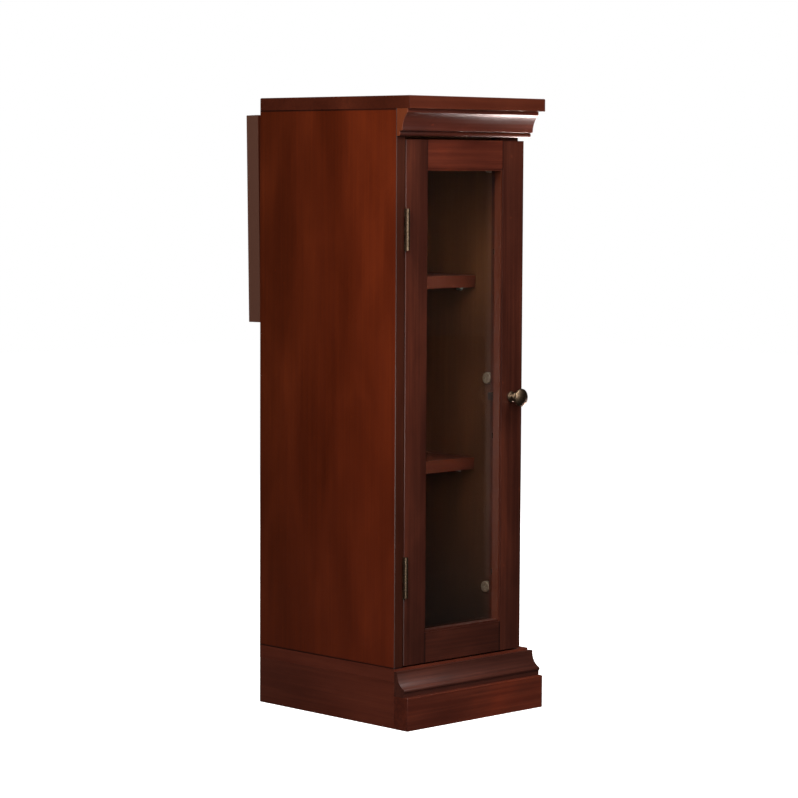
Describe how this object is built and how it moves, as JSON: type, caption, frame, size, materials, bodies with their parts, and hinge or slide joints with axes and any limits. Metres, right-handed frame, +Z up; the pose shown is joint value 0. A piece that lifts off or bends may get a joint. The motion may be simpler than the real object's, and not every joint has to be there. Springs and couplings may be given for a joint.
{
  "type": "glazed cabinet",
  "caption": "Narrow free-standing wooden cabinet with a glazed hinged door, inner shelves, crown and base mouldings, and a hinged drop leaf behind.",
  "frame": {"origin": "on the floor, under the middle of the bounding box, with the door shut and the leaf hanging", "axes": "+X to the right of somebody facing the door, +Y towards the back and the drop leaf, +Z up"},
  "size_m": [0.2854, 0.353, 0.914],
  "materials": {
    "cherry_wood": "stained cherry veneer and solid wood under satin lacquer",
    "back_board": "thin stained fibreboard, matt",
    "plain_wood": "bare birch",
    "zinc_alloy": "die-cast zinc alloy, dull",
    "zinc_steel": "zinc-plated steel",
    "antique_brass": "antique brass plate, brushed dark",
    "clear_glass": "clear float glass",
    "clip_plastic": "dark brown moulded plastic",
    "catch_plastic": "dark brown moulded plastic",
    "magnet_steel": "ferrite magnet between steel pole plates",
    "bumper_rubber": "soft clear-brown felt or rubber dot"
  },
  "bodies": {
    "cabinet": {"top_board": "cherry_wood", "side_panel_left": "cherry_wood", "side_panel_right": "cherry_wood", "front_stile": "cherry_wood", "header_rail": "cherry_wood", "inner_top": "cherry_wood", "bottom_board": "cherry_wood", "back_panel": "back_board", "hinge_rail": "cherry_wood", "carcass_dowels": "plain_wood", "cam_locks": "zinc_alloy", "cam_bolts": "zinc_steel", "crown_moulding": "cherry_wood", "base_moulding": "cherry_wood", "plinth_front": "cherry_wood", "plinth_backer": "cherry_wood", "plinth_back": "cherry_wood", "plinth_side_left": "cherry_wood", "plinth_side_right": "cherry_wood", "plinth_corner_blocks": "cherry_wood", "shelf_upper": "cherry_wood", "shelf_lower": "cherry_wood", "shelf_pins": "zinc_steel", "door_hinge_frame_leaves": "antique_brass", "door_hinge_pins": "antique_brass", "door_hinge_frame_screws": "antique_brass", "magnetic_catch": "catch_plastic", "catch_magnet": "magnet_steel", "catch_screws": "zinc_steel", "door_bumpers": "bumper_rubber", "leaf_hinge_fixed_flaps": "antique_brass", "leaf_hinge_pins": "antique_brass", "leaf_hinge_fixed_screws": "antique_brass"},
    "door": {"door_stile_left": "cherry_wood", "door_stile_right": "cherry_wood", "door_rail_bottom": "cherry_wood", "door_rail_top": "cherry_wood", "door_glass": "clear_glass", "glass_clips": "clip_plastic", "glass_clip_screws": "zinc_steel", "door_hinge_door_leaves": "antique_brass", "door_hinge_door_screws": "antique_brass", "knob": "antique_brass", "knob_screw": "zinc_steel", "strike_plate": "zinc_steel", "strike_plate_screw": "zinc_steel"},
    "leaf": {"drop_leaf": "cherry_wood", "leaf_hinge_moving_flaps": "antique_brass", "leaf_hinge_moving_screws": "antique_brass"}
  },
  "joints": [
    {"name": "door_hinge", "type": "hinge", "parent": "cabinet", "child": "door", "pos_m": [-0.12455, -0.15252, 0.47], "axis": [0, 0, -1], "range_deg": [0, 170]},
    {"name": "leaf_hinge", "type": "hinge", "parent": "cabinet", "child": "leaf", "pos_m": [0, 0.14877, 0.8863], "axis": [1, 0, 0], "range_deg": [0, 91.13]}
  ]
}
